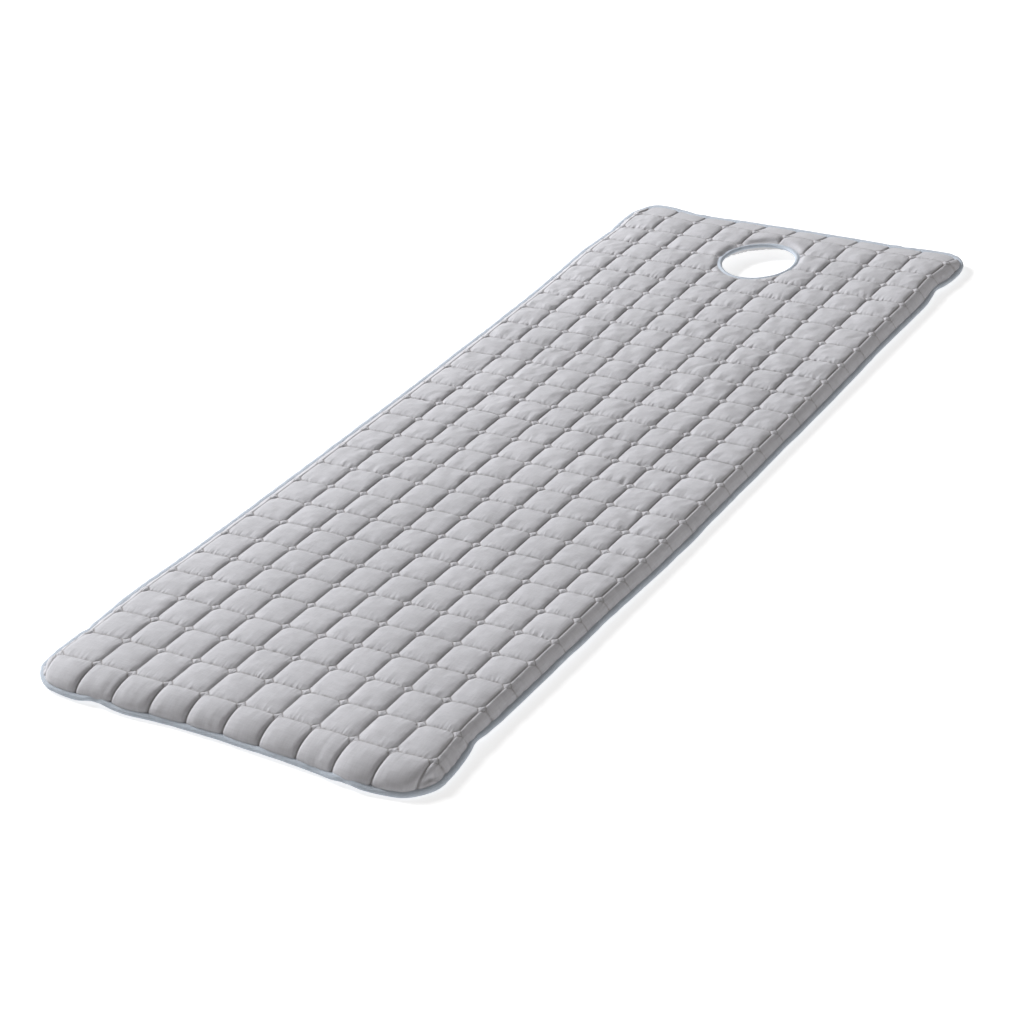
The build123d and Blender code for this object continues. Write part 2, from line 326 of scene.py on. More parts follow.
# puckers: along the cross seams strongest, and stronger towards the head
lively = 0.45 + 0.75 * smooth((gy + 700) / 1100)
dv = np.where(b > 0, 1e9, dj * step)
du = di * step
patchy = np.clip(0.55 + 0.75 * noise(gx / 95, gy / 95, 21), 0.08, 1.3)
pucker = (1.9 * np.exp(-dv / 12.0) * noise(px / 7.5, gy / 44, 31)
          + 0.75 * np.exp(-du / 9.0) * noise(px / 40, gy / 9.5, 32)) * patchy * lively
wrinkle = (1.25 * noise((px + 0.5 * gy) / 21, (gy - 0.5 * px) / 30, 33)
           + 0.75 * noise((px - 0.7 * gy) / 11, gy / 14, 34)) * lively
room = smooth(np.minimum(du, dv) / 7.0)
D = D + (pucker * smooth(np.minimum(du, dv) / 4.0) + wrinkle * room) * inside * (man >= 2 * step)
# pleats of the margins and of the gathered corners
pleat_w = np.sin(math.pi * a) ** 0.6
strong = 0.35 + 0.65 * smooth((-gy - 560) / 200) + 0.45 * smooth((gy - 700) / 150)
D = D + side_row * pleat_w * strong * 1.7 * noise(gx * 0, gy / 5.6, 41)
fan = np.sin(math.pi * b) ** 0.6
D = D + end_row * fan * (0.55 * noise(gx / 8.0, b * 1.6, 42) + 0.35 * noise(gx / 17, b * 2.2, 43))
corner_zone = (a > 0) & (b > 0) & (gy < 0)
fold_at = 0.62 + 0.10 * noise(a * 3, b * 3, 44)
D = D - corner_zone * 5.5 * np.exp(-((r_edge - fold_at) / 0.09) ** 2) * smooth(1 - np.abs(a - b) / 0.75)
D = D + corner_zone * 1.2 * np.sin(math.pi * r_edge) * noise(a * 9, b * 9, 45)
D = D * smooth((hd - 8) / 9)

start = base + normal * D[..., None]
pinned = inside & (((di == 0) & (man >= 2 * step - 1e-6)) | ((dj == 0) & (man >= 2 * step - 1e-6))
                   | ((np.abs(man - 2 * step) < 1e-6) & (di <= 2)))
pinned |= (b > 0) & (di == 0) & (a == 0)
pinned |= (a == 1) | (b == 1)
pinned |= hd < 11.5
flat_uv = np.stack([(X0 + C * step) / 1000, (Y0 + R * step) / 1000], -1)


def relax(P, pins):
    """Runs Cloth on the grid, with the stitched points pinned and a little air under it, and returns the settled points."""
    ny, nx = P.shape[:2]
    ob = grid_piece("cloth_sim", P, flat_uv)
    scene = bpy.context.scene
    group = ob.vertex_groups.new(name="pin")
    group.add([int(k) for k in np.nonzero(pins.reshape(-1))[0]], 1.0, "REPLACE")
    ob.shape_key_add(name="Basis")
    key = ob.shape_key_add(name="rest")
    r = P.reshape(-1, 3) / 1000
    key.data.foreach_set("co", (r * np.array([1.035, 1.012, 1.0])).ravel())
    mod = ob.modifiers.new("Cloth", "CLOTH")
    s = mod.settings
    s.quality = 4
    s.mass = 0.2
    s.tension_stiffness = s.compression_stiffness = 12
    s.shear_stiffness = 4
    s.bending_stiffness = 0.04
    s.use_pressure = True
    s.uniform_pressure_force = 5
    s.vertex_group_mass = "pin"
    s.effector_weights.gravity = 0
    s.rest_shape_key = key
    mod.collision_settings.use_collision = False
    scene.frame_start, scene.frame_end = 1, 16
    for f in range(1, 17):
        scene.frame_set(f)
    ev = ob.evaluated_get(bpy.context.evaluated_depsgraph_get())
    me = ev.to_mesh()
    got = np.empty(len(me.vertices) * 3)
    me.vertices.foreach_get("co", got)
    ev.to_mesh_clear()
    scene.frame_set(1)
    bpy.data.objects.remove(ob, do_unlink=True)
    moved = got.reshape(ny, nx, 3) * 1000 - P
    length = np.linalg.norm(moved, axis=-1, keepdims=True)
    return P + moved * np.minimum(1, 6.0 / np.maximum(length, 1e-9))


top = relax(start, pinned)
top = subdivide(top)
top_uv = upsample(flat_uv)
flat = lambda A: upsample(A.astype(float))

# the thread pulls the seams into a narrow groove
C2, R2 = flat(C), flat(R)
a2, b2, gx2, gy2 = flat(a), flat(b), flat(gx), flat(gy)
mi, mj = np.abs((C2 + N / 2) % N - N / 2) * step, np.abs((R2 + N / 2) % N - N / 2) * step
m2 = mi + mj
arm = 2 * step
dia = np.abs(m2 - arm) / math.sqrt(2)
d_line = np.minimum(np.where(m2 > arm - 1e-6, mi, 99), np.where(m2 > arm - 1e-6, mj, 99))
d_seam = np.where((a2 == 0) & (b2 == 0), np.minimum(d_line, dia), 99)
d_seam = np.where((b2 > 0) & (a2 == 0), np.minimum(mi, 99), d_seam)
d_cross = np.where((m2 > arm - 1e-6) & (mj < mi) & (b2 == 0), 0.55, 1.0)      # the cross seams are the shallower ones
depth = (1.7 + 0.6 * smooth((gy2 + 850) / 500)) * d_cross * np.exp(-(d_seam / 1.7) ** 2)
# small creases that run into the cross seams
near_v = np.exp(-mj / 9.0) * (a2 == 0) * (b2 == 0) * (m2 > arm + 3)
crease = np.abs(noise(top[..., 0] / 6.5, top[..., 1] / 34, 35))
patch2 = np.clip(0.25 + 1.1 * noise(gx2 / 70, gy2 / 70, 36), 0, 1.3) * (0.5 + 0.7 * smooth((gy2 + 700) / 1100))
depth = depth + 2.1 * near_v * patch2 * np.clip(1 - crease / 0.32, 0, 1)
top = top - grid_normals(top) * (depth * smooth((hole_distance(top[..., 0], top[..., 1]) - 9) / 6))[..., None]

# ------------------------------------------------------------------ underside
NU = 12
CU, RU, au, bu, ux, uy = cloth_grid(NU, 5, 6)
upx, upy = spread(ux, uy, au, bu, 6.0, lambda r: r)
su = PITCH / NU
diu, dju = np.minimum(CU % NU, NU - CU % NU) * su, np.minimum(RU % NU, NU - RU % NU) * su
d_under = np.where((au == 0) & (bu == 0), np.minimum(diu, dju), 99)
uz = 0.35 + 2.1 * np.exp(-(d_under / 6.0) ** 1.3) + 0.25 * (1 + noise(ux / 30, uy / 30, 51))
ru = np.maximum(au, bu)
uz = uz * (1 - ru) + 3.2 * ru
hu = hole_distance(upx, upy)
uz = np.maximum(uz, 22.0 * smooth((34 - hu) / 26))
for sx in (-1, 1):                                  # the straps press into it
    for sy in (-1, 1):
        off = np.abs((sx * upx + sy * upy) - (277 + 864)) / math.sqrt(2)
        uz = np.maximum(uz, 3.1 * smooth((33 - off) / 9))
under = lay(np.stack([upx, upy, uz], -1))
under_uv = np.stack([(X0 + CU * su) / 1000, (Y0 + RU * su) / 1000], -1)


# ------------------------------------------------------------------ materials
def nodes_of(name):
    mat = bpy.data.materials.new(name)
    mat.use_nodes = True
    nt = mat.node_tree
    return mat, nt, nt.nodes["Principled BSDF"]


def math_node(nt, op, *values):
    n = nt.nodes.new("ShaderNodeMath")
    n.operation = op
    for k, val in enumerate(values):
        if isinstance(val, (int, float)):
            n.inputs[k].default_value = val
        else:
            nt.links.new(val, n.inputs[k])
    return n.outputs[0]


def cloth_material(name, dark, light, thread_mm, roughness, sheen, weave=0.25, fuzz=0.25, rib=False, diagonal=False, quilted=False):
    """Woven cloth on the flat cloth coordinates: two sets of threads, slubs, and a soft change of tone; quilted cloth
    also gets painted shade along its stitching lines and round its diamonds.
    """
    mat, nt, bsdf = nodes_of(name)
    L = nt.links.new
    uv = nt.nodes.new("ShaderNodeUVMap"); uv.uv_map = "cloth"
    sep = nt.nodes.new("ShaderNodeSeparateXYZ"); L(uv.outputs[0], sep.inputs[0])
    X, Y = sep.outputs[0], sep.outputs[1]
    if diagonal:
        X, Y = math_node(nt, "ADD", X, Y), math_node(nt, "SUBTRACT", Y, X)
    f = 2 * math.pi / (thread_mm / 1000)
    wx = math_node(nt, "SINE", math_node(nt, "MULTIPLY", X, f))
    wy = math_node(nt, "SINE", math_node(nt, "MULTIPLY", Y, f))
    woven = math_node(nt, "MULTIPLY", wx, wy) if not rib else wx

    def tex(scale, detail, rough=0.55, stretch=(1, 1)):
        m = nt.nodes.new("ShaderNodeMapping"); m.inputs["Scale"].default_value = (stretch[0], stretch[1], 1)
        L(uv.outputs[0], m.inputs[0])
        t = nt.nodes.new("ShaderNodeTexNoise")
        t.inputs["Scale"].default_value = scale
        t.inputs["Detail"].default_value = detail
        t.inputs["Roughness"].default_value = rough
        L(m.outputs[0], t.inputs["Vector"])
        return t.outputs["Fac"]

    broad, middle, fine = tex(5, 3), tex(70, 3), tex(900, 2)
    slub_x, slub_y = tex(420, 2, 0.6, (1, 0.08)), tex(420, 2, 0.6, (0.08, 1))
    tone = math_node(nt, "ADD", math_node(nt, "MULTIPLY", broad, 0.30), math_node(nt, "MULTIPLY", middle, 0.26))
    tone = math_node(nt, "ADD", tone, math_node(nt, "MULTIPLY", math_node(nt, "ADD", slub_x, slub_y), 0.20))
    tone = math_node(nt, "ADD", tone, math_node(nt, "MULTIPLY", fine, 0.16))
    tone = math_node(nt, "ADD", tone, math_node(nt, "MULTIPLY", woven, 0.05))
    ramp = nt.nodes.new("ShaderNodeValToRGB")
    ramp.color_ramp.elements[0].position, ramp.color_ramp.elements[1].position = 0.41, 0.71
    ramp.color_ramp.elements[0].color, ramp.color_ramp.elements[1].color = (*dark, 1), (*light, 1)
    L(tone, ramp.inputs[0])
    colour, seam_shade_and_groove, creases = ramp.outputs[0], None, None
    if quilted:                                          # painted shade along the stitching lines, worked out from the distances to them, in millimetres
        def off_line(c, start):
            q = math_node(nt, "DIVIDE", math_node(nt, "SUBTRACT", c, start / 1000), PITCH / 1000)
            return math_node(nt, "MULTIPLY", math_node(nt, "ABSOLUTE", math_node(nt, "SUBTRACT", q, math_node(nt, "ROUND", q))), PITCH)
        ox, oy = off_line(sep.outputs[0], X0), off_line(sep.outputs[1], Y0)
        both = math_node(nt, "ADD", ox, oy)
        arm_mm = 2 * PITCH / N
        outside = math_node(nt, "GREATER_THAN", both, arm_mm)

        def line(d, w, k):
            q = math_node(nt, "MULTIPLY", math_node(nt, "MULTIPLY", d, d), -1 / (w * w))
            return math_node(nt, "MULTIPLY", math_node(nt, "EXPONENT", q), k)
        long_shade_strength = math_node(nt, "MULTIPLY_ADD", sep.outputs[1], 0.30, 0.62)      # the painted seam shade is fainter towards the foot
        long_shade_strength = math_node(nt, "MINIMUM", math_node(nt, "MAXIMUM", long_shade_strength, 0.34), 0.62)
        long_seam_shade = math_node(nt, "MULTIPLY", math_node(nt, "MULTIPLY", line(ox, 1.5, 1.0), long_shade_strength), outside)
        dash = math_node(nt, "ADD", math_node(nt, "MULTIPLY", tex(1, 2, 0.6, (150, 40)), 2.2), -0.55)
        cross_seam_shade = math_node(nt, "MULTIPLY", math_node(nt, "MULTIPLY", line(oy, 1.7, 0.62), outside), dash)
        diamond_shade = line(math_node(nt, "SUBTRACT", both, arm_mm), 1.5, 0.56)
        seam_shade_and_groove = math_node(nt, "MAXIMUM", math_node(nt, "MAXIMUM", long_seam_shade, cross_seam_shade), diamond_shade)
        # painted shade: a dark warm colour is mixed into the base colour along the seams and round the diamonds,
        # standing in for the shade in the stitched grooves
        mix = nt.nodes.new("ShaderNodeMix"); mix.data_type = "RGBA"
        L(seam_shade_and_groove, mix.inputs["Factor"]); L(colour, mix.inputs["A"])
        mix.inputs["B"].default_value = (0.155, 0.135, 0.125, 1)
        colour = mix.outputs["Result"]
        pk = tex(1, 3, 0.6, (190, 26))
        creases = math_node(nt, "MULTIPLY", pk, math_node(nt, "EXPONENT", math_node(nt, "MULTIPLY", oy, -1 / 10.0)))
    L(colour, bsdf.inputs["Base Color"])
    rough = math_node(nt, "ADD", math_node(nt, "MULTIPLY", middle, 0.16), roughness - 0.08)
    L(rough, bsdf.inputs["Roughness"])
    bsdf.inputs["Sheen Weight"].default_value = sheen
    bsdf.inputs["Sheen Roughness"].default_value = 0.45
    bsdf.inputs["Specular IOR Level"].default_value = 0.22
    b1 = nt.nodes.new("ShaderNodeBump"); b1.inputs["Strength"].default_value = weave
    b1.inputs["Distance"].default_value = 0.0004
    L(woven, b1.inputs["Height"])
    b2 = nt.nodes.new("ShaderNodeBump"); b2.inputs["Strength"].default_value = fuzz
    b2.inputs["Distance"].default_value = 0.0012
    height = math_node(nt, "ADD", math_node(nt, "MULTIPLY", middle, 0.7), math_node(nt, "MULTIPLY", fine, 0.3))
    L(height, b2.inputs["Height"]); L(b1.outputs[0], b2.inputs["Normal"])
    last = b2
    if quilted:
        b3 = nt.nodes.new("ShaderNodeBump"); b3.inputs["Strength"].default_value = 0.8
        b3.inputs["Distance"].default_value = 0.0035
        L(math_node(nt, "SUBTRACT", creases, math_node(nt, "MULTIPLY", seam_shade_and_groove, 0.35)), b3.inputs["Height"])
        L(b2.outputs[0], b3.inputs["Normal"]); last = b3
    L(last.outputs[0], bsdf.inputs["Normal"])
    return mat


M_TOP = cloth_material("top_cloth", (0.440, 0.440, 0.463), (0.588, 0.586, 0.617), 0.9, 0.80, 0.18, 0.30, 0.30, quilted=True)
M_UNDER = cloth_material("under_cloth", (0.55, 0.55, 0.56), (0.64, 0.64, 0.65), 1.3, 0.86, 0.08, 0.35, 0.25)
M_TAPE = cloth_material("binding_tape_cloth", (0.47, 0.525, 0.60), (0.58, 0.635, 0.71), 1.1, 0.62, 0.22, 0.5, 0.2, diagonal=True)
M_THREAD = cloth_material("quilting_thread_cotton", (0.40, 0.395, 0.41), (0.50, 0.495, 0.51), 0.7, 0.6, 0.1, 0.5, 0.1, rib=True)
M_THREAD_PALE = cloth_material("binding_thread_cotton", (0.58, 0.62, 0.68), (0.70, 0.74, 0.80), 0.7, 0.55, 0.1, 0.5, 0.1, rib=True)
M_ELASTIC = cloth_material("strap_elastic_rib", (0.66, 0.66, 0.67), (0.80, 0.80, 0.81), 1.6, 0.75, 0.05, 0.9, 0.1, rib=True)


def finish_piece(ob, mat, slot, replaces, body=None, bend=None):
    ob.data.materials.append(mat)
    if replaces:
        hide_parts(*replaces)
    if bend:
        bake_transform(ob)
    else:
        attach(ob, body)
    return ob


FOOT_BEND = ("foot_section", FOLD_FOOT, -1)
HEAD_BEND = ("head_section", FOLD_HEAD, 1)
PARTS = [  # name, lowest and highest cut, bend or body
    ("foot", None, 0, dict(bend=FOOT_BEND)),
    ("middle_a", 0, 1, dict(body="middle_section")),
    ("middle_b", 1, 2, dict(body="middle_section")),
    ("head", 2, None, dict(bend=HEAD_BEND)),
]

made = {}


def cut_rows(R_values, n):
    """Row index of each cut on a grid whose rows count from R_values[0]."""
    return [int(round((c - Y0) / PITCH * n - R_values)) for c in CUTS]


top_cut = [2 * k for k in cut_rows(-K_END, N)]
under_cut = cut_rows(-6, NU)
for name, lo, hi, how in PARTS:
    for kind, P, UV, cuts, mat, slot in (("top", top, top_uv, top_cut, M_TOP, "top_fabric"),
                                         ("under", under, under_uv, under_cut, M_UNDER, "under_fabric")):
        s = slice(cuts[lo] if lo is not None else 0, (cuts[hi] if hi is not None else len(P) - 1) + 1)
        Q, W = P[s], UV[s]
        keep = None
        if name == "head":
            mid = (Q[:-1, :-1] + Q[1:, 1:]) / 2
            keep = hole_distance(mid[..., 0], mid[..., 1]) > 5.5
        sec = name.split("_")[0]
        if kind == "top":
            stands = {"foot": ["top_cover_foot", "upper_wadding_foot"], "head": ["top_cover_head", "upper_wadding_head"],
                      "middle_a": ["top_cover_middle"], "middle_b": ["upper_wadding_middle"]}[name]
        else:
            stands = {"foot": ["bottom_cover_foot", "lower_batt_foot"], "head": ["bottom_cover_head", "lower_batt_head"],
                      "middle_a": ["bottom_cover_middle"], "middle_b": ["lower_batt_middle"]}[name]
        ob = grid_piece(f"{'quilted_top' if kind == 'top' else 'underside'}_{name}", Q, W, keep, flip=kind == "under")
        finish_piece(ob, mat, slot, stands, **how)
        made[ob.name] = ob


# ------------------------------------------------------------------ binding tape: a folded tape swept along the rim
TAPE = np.array([(-12.4, 6.2), (-12.0, 7.9), (-10.9, 8.7), (-9.6, 7.9), (-8.2, 9.0), (-5.6, 9.8), (-2.9, 9.5), (-0.9, 8.1),
                 (0.3, 6.2), (0.6, 4.4), (0.1, 2.7), (-1.2, 1.4), (-3.2, 0.75), (-6.0, 0.6), (-8.5, 1.0), (-11.0, 0.9),
                 (-12.2, 2.0), (-11.6, 4.0)])


RING = np.array([(x * 0.74, z * 0.72) for x, z in TAPE])


def sweep(path, outward, up_z, scale_z=1.0, seed=1, closed=False, tape=TAPE, wide=1.0):
    """Rings of the tape along path; returns points (rings, profile, 3) and cloth coordinates."""
    n = len(path)
    nxt = np.roll(path, -1, 0) if closed else np.vstack([path[1:], path[-1:]])
    seg = np.linalg.norm(nxt - path, axis=1)
    s = np.concatenate([[0], np.cumsum(seg[:-1])])
    prof = np.vstack([tape, tape[:1]])
    around = np.concatenate([[0], np.cumsum(np.linalg.norm(np.diff(prof, axis=0), axis=1))])
    prof = prof[:-1]
    P = np.empty((n, len(prof), 3))
    ripple = 0.30 * noise(s[:, None] / 9.0, around[None, :-1] / 5.0, seed) + 0.28 * noise(s[:, None] / 23, around[None, :-1] / 9, seed + 1)
    nn = prof[None, :, 0] + ripple * np.where(prof[None, :, 0] > -2, 1.0, 0.4)
    nn = np.where(nn < 0, nn * np.reshape(wide, (-1, 1)), nn)
    zz = prof[None, :, 1] * scale_z + ripple * 0.9
    P[..., 0] = path[:, None, 0] + outward[:, None, 0] * nn
    P[..., 1] = path[:, None, 1] + outward[:, None, 1] * nn
    P[..., 2] = np.asarray(up_z).reshape(-1, 1) + zz
    UV = np.stack([np.broadcast_to(s[:, None], P.shape[:2]), np.broadcast_to(around[None, :-1], P.shape[:2])], -1) / 1000
    return P, UV


def tube_mesh(name, P, UV, closed):
    n, m = P.shape[:2]
    i = np.arange(n if closed else n - 1)
    j = np.arange(m)
    I, J = np.meshgrid(i, j, indexing="ij")
    I2, J2 = (I + 1) % n, (J + 1) % m
    f = np.stack([I * m + J, I * m + J2, I2 * m + J2, I2 * m + J], -1).reshape(-1, 4)
    ob = make_mesh(name, P.reshape(-1, 3), f, UV.reshape(-1, 2))
    if not closed:                                       # close both ends
        import bmesh
        bm = bmesh.new(); bm.from_mesh(ob.data); bm.verts.ensure_lookup_table()
        for ring in ([k for k in range(m)], [(n - 1) * m + k for k in range(m)][::-1]):
            bm.faces.new([bm.verts[k] for k in ring])
        bmesh.ops.recalc_face_normals(bm, faces=bm.faces)
        bm.to_mesh(ob.data); bm.free()
    return ob


def rim_path(step_mm=3.0):
    """The outline as points and outward normals, anticlockwise from the middle of the right side."""
    w, l, r = HALF_W, HALF_L, RADIUS
    pts, out = [], []
    def line(p, q, n):
        k = max(2, int(round(np.hypot(q[0] - p[0], q[1] - p[1]) / step_mm)))
        for t in np.arange(k) / k:
            pts.append((p[0] + (q[0] - p[0]) * t, p[1] + (q[1] - p[1]) * t)); out.append(n)
    def arc(c, a0):
        k = int(round(r * math.pi / 2 / (step_mm * 0.8)))
        for t in np.arange(k) / k:
            g = a0 + t * math.pi / 2
            pts.append((c[0] + r * math.cos(g), c[1] + r * math.sin(g))); out.append((math.cos(g), math.sin(g)))
    line((w, -l + r), (w, l - r), (1, 0)); arc((w - r, l - r), 0)
    line((w - r, l), (-w + r, l), (0, 1)); arc((-w + r, l - r), math.pi / 2)
    line((-w, l - r), (-w, -l + r), (-1, 0)); arc((-w + r, -l + r), math.pi)
    line((-w + r, -l), (w - r, -l), (0, -1)); arc((w - r, -l + r), 3 * math.pi / 2)
    return np.array(pts, float), np.array(out, float)


ANCHORS = [(348, -797), (348, 797), (-348, -797), (-348, 797), (222, -935), (222, 935), (-222, -935), (-222, 935)]
path, outward = rim_path()
pull, lift = np.zeros(len(path)), np.zeros(len(path))
for k, (ax, ay) in enumerate(ANCHORS):
    d = np.hypot(path[:, 0] - ax, path[:, 1] - ay)
    pull += 2.6 * np.exp(-(d / 13.0) ** 2)
    lift += 1.6 * np.exp(-((d - 12) / 12.0) ** 2)
along_rim = np.concatenate([[0], np.cumsum(np.linalg.norm(np.diff(path, axis=0), axis=1))])
wave = 0.9 * noise(along_rim / 55, 0 * along_rim, 61) + 0.4 * noise(along_rim / 19, 0 * along_rim, 62)
rimP, rimUV = sweep(path - outward * (pull + wave * 0.6)[:, None], outward, np.maximum(lift + 0.35 * wave, -0.2) + 0.1, seed=63,
                     wide=1 + 0.32 * smooth((-path[:, 0] - 330) / 14))
rimP = lay(rimP)
rimP[..., 2] = np.maximum(rimP[..., 2], 0.25)


def rim_part(keep_fn):
    """The stretch of the rim where keep_fn of the path is true, as one run."""
    k = keep_fn(path)
    first = np.nonzero(k & ~np.roll(k, 1))[0][0]
    order = (np.arange(len(path)) + first) % len(path)
    run = order[: int(k.sum()) + 1]                       # one more ring, so that neighbours meet
    return rimP[run], rimUV[run]


RIM = [("edge_tape_foot", lambda p: p[:, 1] < CUTS[0], ["edge_binding_foot"], dict(bend=FOOT_BEND)),
       ("edge_tape_head", lambda p: p[:, 1] > CUTS[2], ["edge_binding_head"], dict(bend=HEAD_BEND)),
       ("edge_tape_right", lambda p: (p[:, 0] > 0) & (p[:, 1] >= CUTS[0]) & (p[:, 1] <= CUTS[2]), ["edge_binding_right"], dict(body="middle_section")),
       ("edge_tape_left", lambda p: (p[:, 0] < 0) & (p[:, 1] >= CUTS[0]) & (p[:, 1] <= CUTS[2]), ["edge_binding_left"], dict(body="middle_section"))]
for name, fn, stands, how in RIM:
    P, UV = rim_part(fn)
    made[name] = finish_piece(tube_mesh(name, P, UV, False), M_TAPE, "binding_tape", stands, **how)

t = np.linspace(0, 2 * math.pi, 200, endpoint=False)
ring = np.stack([HOLE[0] * np.cos(t), HOLE[2] + HOLE[1] * np.sin(t)], -1)
tang = np.stack([-HOLE[0] * np.sin(t), HOLE[1] * np.cos(t)], -1)
inward = -np.stack([tang[:, 1], -tang[:, 0]], -1) / np.linalg.norm(tang, axis=1, keepdims=True)
ringP, ringUV = sweep(ring - inward * (0.4 * noise(t * 3, 0 * t, 71))[:, None], inward,
                      20.2 + 0.5 * np.sin(t * 2 + 1), scale_z=1.12, seed=72, closed=True, tape=RING)
ob = tube_mesh("face_opening_tape", ringP[::-1], ringUV[::-1], True)
made[ob.name] = finish_piece(ob, M_TAPE, "binding_tape", ["face_opening_binding"], body="head_section")


# ------------------------------------------------------------------ stitches
def stitches(name, lines, length, gap, radius, lift_mm, mat, slot, stands, how):
    """Short round-ended stitches laid along lines; each line is (points, normals)."""
    V, F, UVs = [], [], []
    count = 0
    for pts, nor in lines:
        seg = np.linalg.norm(np.diff(pts, axis=0), axis=1)
        s = np.concatenate([[0], np.cumsum(seg)])
        k = int(s[-1] // (length + gap))
        if k < 1:
            continue
        at = (np.arange(k) + 0.5) * s[-1] / k
        get = lambda q, A: np.stack([np.interp(q, s, A[:, c]) for c in range(3)], -1)
        p0, p1, pm, nm = get(at - length / 2, pts), get(at + length / 2, pts), get(at, pts), get(at, nor)
        nm /= np.linalg.norm(nm, axis=1, keepdims=True)
        d = p1 - p0
        d /= np.maximum(np.linalg.norm(d, axis=1, keepdims=True), 1e-9)
        sd = np.cross(nm, d)
        rings = []
        for f, w, h in ((0.0, 0.35, -0.35), (0.22, 1.0, 0.0), (0.78, 1.0, 0.0), (1.0, 0.35, -0.35)):
            c = p0 + (p1 - p0) * f + nm * (lift_mm + h * radius * 1.5)
            for q in range(5):
                g = 2 * math.pi * q / 5
                rings.append(c + (sd * math.cos(g) + nm * math.sin(g)) * radius * w)
        block = np.stack(rings, 1)                            # (k, 20, 3)
        base_i = count + np.arange(k)[:, None] * 20
        for ring_i in range(3):
            for q in range(5):
                q2 = (q + 1) % 5
                F.append(base_i + np.array([[ring_i * 5 + q, ring_i * 5 + q2, ring_i * 5 + 5 + q2, ring_i * 5 + 5 + q]]))
        V.append(block.reshape(-1, 3))
        UVs.append(np.stack([np.repeat(at, 20) / 1000, np.tile(np.arange(20) % 5, k) / 5000.0], -1))
        count += k * 20
    ob = make_mesh(name, np.vstack(V), np.vstack(F), np.vstack(UVs))
    import bmesh
    bm = bmesh.new(); bm.from_mesh(ob.data)
    bmesh.ops.holes_fill(bm, edges=[e for e in bm.edges if e.is_boundary], sides=5)
    bmesh.ops.recalc_face_normals(bm, faces=bm.faces)
    bm.to_mesh(ob.data); bm.free()
    made[name] = finish_piece(ob, mat, slot, stands, **how)
    return ob


top_n = grid_normals(top)


def at_grid(cs, rs):
    """Points and normals of the top at coarse grid columns and rows."""
    c, r = 2 * (np.asarray(cs) + K_SIDE), 2 * (np.asarray(rs) + K_END)
    return top[r, c], top_n[r, c]


def seam_lines():
    lines = []
    for i in range(NI + 1):
        c = i * N
        lines.append(at_grid([c] * (K_END - 3), list(range(-K_END + 4, 1))[: K_END - 3]))
        for j in range(NJ):
            rr = list(range(j * N + 2, (j + 1) * N - 1))
            lines.append(at_grid([c] * len(rr), rr))
    for j in range(NJ + 1):
        r = j * N
        for i in range(NI):
            cc = list(range(i * N + 2, (i + 1) * N - 1))
            lines.append(at_grid(cc, [r] * len(cc)))
        for i in range(NI + 1):
            c = i * N
            loop = [(0, -2), (1, -1), (2, 0), (1, 1), (0, 2), (-1, 1), (-2, 0), (-1, -1), (0, -2)]
            lines.append(at_grid([c + p for p, _ in loop], [r + q for _, q in loop]))
    return [l for l in lines if hole_distance(l[0][:, 0], l[0][:, 1]).min() > 12]


all_lines = seam_lines()
for name, lo, hi, stands, how in (
        ("quilting_stitches_foot", -9999, CUTS[0], ["quilting_thread_foot"], dict(bend=FOOT_BEND)),
        ("quilting_stitches_middle", CUTS[0], CUTS[2], ["quilting_thread_middle"], dict(body="middle_section")),
        ("quilting_stitches_head", CUTS[2], 9999, ["quilting_thread_head"], dict(bend=HEAD_BEND))):
    mine = [l for l in all_lines if lo <= l[0][:, 1].mean() < hi]
    stitches(name, mine, 3.3, 1.1, 0.34, 0.16, M_THREAD, "quilting_thread", stands, how)


def tape_line(P, k, lift_n):
    """The line of the tape's stitching, on profile point k."""
    a_, b_ = P[:, (k - 1) % P.shape[1]], P[:, (k + 1) % P.shape[1]]
    tan = np.gradient(P[:, k], axis=0)
    n = np.cross(tan, b_ - a_)
    n *= np.sign(n[:, 2:3]) * 1.0
    return P[:, k], n / np.maximum(np.linalg.norm(n, axis=1, keepdims=True), 1e-9)


for name, tape, stands, how in (("rim_stitches_foot", 0, ["binding_thread_foot"], dict(bend=FOOT_BEND)),
                                ("rim_stitches_head", 1, ["binding_thread_head"], dict(bend=HEAD_BEND)),
                                ("rim_stitches_right", 2, ["binding_thread_right"], dict(body="middle_section")),
                                ("rim_stitches_left", 3, ["binding_thread_left"], dict(body="middle_section"))):
    P, _ = rim_part(RIM[tape][1])
    stitches(name, [tape_line(P, 3, 0)], 2.8, 1.0, 0.32, 0.14, M_THREAD_PALE, "binding_thread", stands, how)
closed_ring = np.vstack([ringP, ringP[:1]])
stitches("face_opening_stitches", [tape_line(closed_ring, 3, 0)], 2.8, 1.0, 0.32, 0.14, M_THREAD_PALE,
         "binding_thread", ["face_opening_thread"], dict(body="head_section"))


# ------------------------------------------------------------------ corner straps
def strap(name, sx, sy, node, body):
    lo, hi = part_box(node)
    n, m = 70, 11
    half = (hi.x - lo.x) * 1000 / 2
    c = np.array([(lo.x + hi.x) * 500, (lo.y + hi.y) * 500])
    d = np.array([sx, -sy]) / math.sqrt(2)
    w = np.array([sx, sy]) / math.sqrt(2)
    S = np.linspace(-1, 1, n)
    T = np.linspace(-12.5, 12.5, m)
    P = np.empty((n, m, 3))
    for i, s in enumerate(S):
        for j, tt in enumerate(T):
            reach = (half - 12.5 / math.sqrt(2)) * math.sqrt(2) - abs(tt) * 0
            q = c + d * s * (reach - 1.5) + w * tt
            P[i, j] = (q[0], q[1], 0.75 + 0.15 * math.sin(s * 9) * (1 - s * s))
    top_side, bottom = P.copy(), P.copy()
    top_side[..., 2] += 1.0
    loop = np.concatenate([bottom, top_side[:, ::-1]], 1)
    UV = np.stack(np.meshgrid(np.arange(n) * 0.002, np.arange(2 * m) * 0.0025, indexing="ij"), -1)
    ob = tube_mesh(name, lay(loop), UV, False)
    made[name] = finish_piece(ob, M_ELASTIC, "strap_elastic", [node], body=body)


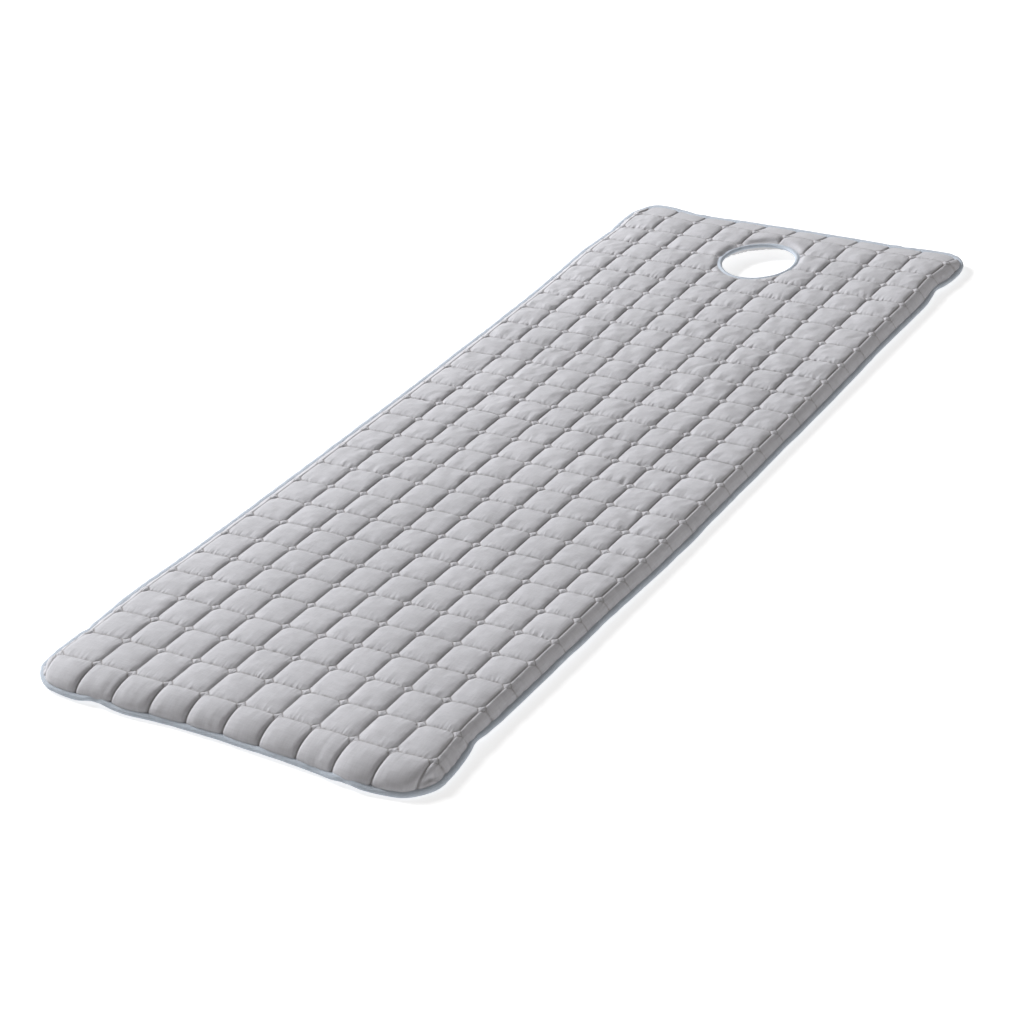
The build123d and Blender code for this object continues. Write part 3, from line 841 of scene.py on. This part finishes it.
for end, sy, body in (("foot", -1, "foot_section"), ("head", 1, "head_section")):
    for side, sx in (("left", -1), ("right", 1)):
        strap(f"elastic_strap_{end}_{side}", sx, sy, f"corner_strap_{end}_{side}", body)
    lines = []
    for sx in (-1, 1):
        for cx, cy, dx, dy in ((sx * 331, sy * 810, 0, 1), (sx * 223, sy * 918, 1, 0)):
            for k in (-0.5, 0.5):
                s = np.linspace(-11, 11, 8)
                pts = np.stack([cx + dx * s + dy * k * 1.6, cy + dy * s + dx * k * 1.6, np.full(8, 0.62)], -1)
                lines.append((lay(pts), np.tile([0, 0, -1.0], (8, 1))))
    stitches(f"bar_tack_stitches_{end}", lines, 1.6, 0.3, 0.3, 0.0, M_THREAD_PALE, "binding_thread",
             [f"strap_bar_tacks_{end}"], dict(body=body))

# ------------------------------------------------------------------ floor, light and camera
bpy.ops.mesh.primitive_plane_add(size=30, location=(0, 0, -0.0004))
floor = bpy.context.object
floor.name = "floor"
fm, fnt, fb = nodes_of("studio_floor")
fb.inputs["Base Color"].default_value = (0.60, 0.60, 0.60, 1)
fb.inputs["Emission Color"].default_value = (1, 1, 1, 1)
fb.inputs["Emission Strength"].default_value = 0.66
fb.inputs["Roughness"].default_value = 0.9
floor.data.materials.append(fm)
floor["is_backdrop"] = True

scene = bpy.context.scene
scene.view_settings.view_transform = "Standard"
scene.world = bpy.data.worlds.new("studio")
scene.world.use_nodes = True
bg = scene.world.node_tree.nodes["Background"]
bg.inputs[0].default_value = (1.0, 0.965, 0.93, 1)
bg.inputs[1].default_value = 0.21


def area(name, loc, target, size, power, colour=(1, 1, 1)):
    light = bpy.data.lights.new(name, "AREA")
    light.shape = "RECTANGLE"
    light.size, light.size_y = size
    light.energy = power
    light.color = colour
    ob = bpy.data.objects.new(name, light)
    scene.collection.objects.link(ob)
    ob.location = loc
    ob.rotation_euler = (Vector(target) - Vector(loc)).to_track_quat("-Z", "Y").to_euler()
    return ob


area("key", (-7.3, 1.1, 4.4), (0, -0.2, 0), (3.2, 3.2), 1240, (0.985, 0.99, 1.0))
area("fill", (4.2, -0.1, 1.6), (0.3, -0.1, 0), (2.2, 2.2), 32, (1.0, 0.985, 0.97))

cam_data = bpy.data.cameras.new("camera")
cam = bpy.data.objects.new("camera", cam_data)
scene.collection.objects.link(cam)
cam_data.sensor_width = 36.0
cam_data.lens = 89.96
right = Vector((0.8555928, 0.51275076, -0.07104658))
down = Vector((0.19863986, -0.45195449, -0.86964323))
ahead = Vector((-0.47802004, 0.7299478, -0.48854175))
from mathutils import Matrix
m = Matrix.Identity(4)
for k in range(3):
    m[k][0], m[k][1], m[k][2] = right[k], -down[k], -ahead[k]
m[0][3], m[1][3], m[2][3] = 1.9937, -3.1945, 1.99625
cam.matrix_world = m
scene.camera = cam

lo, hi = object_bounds()
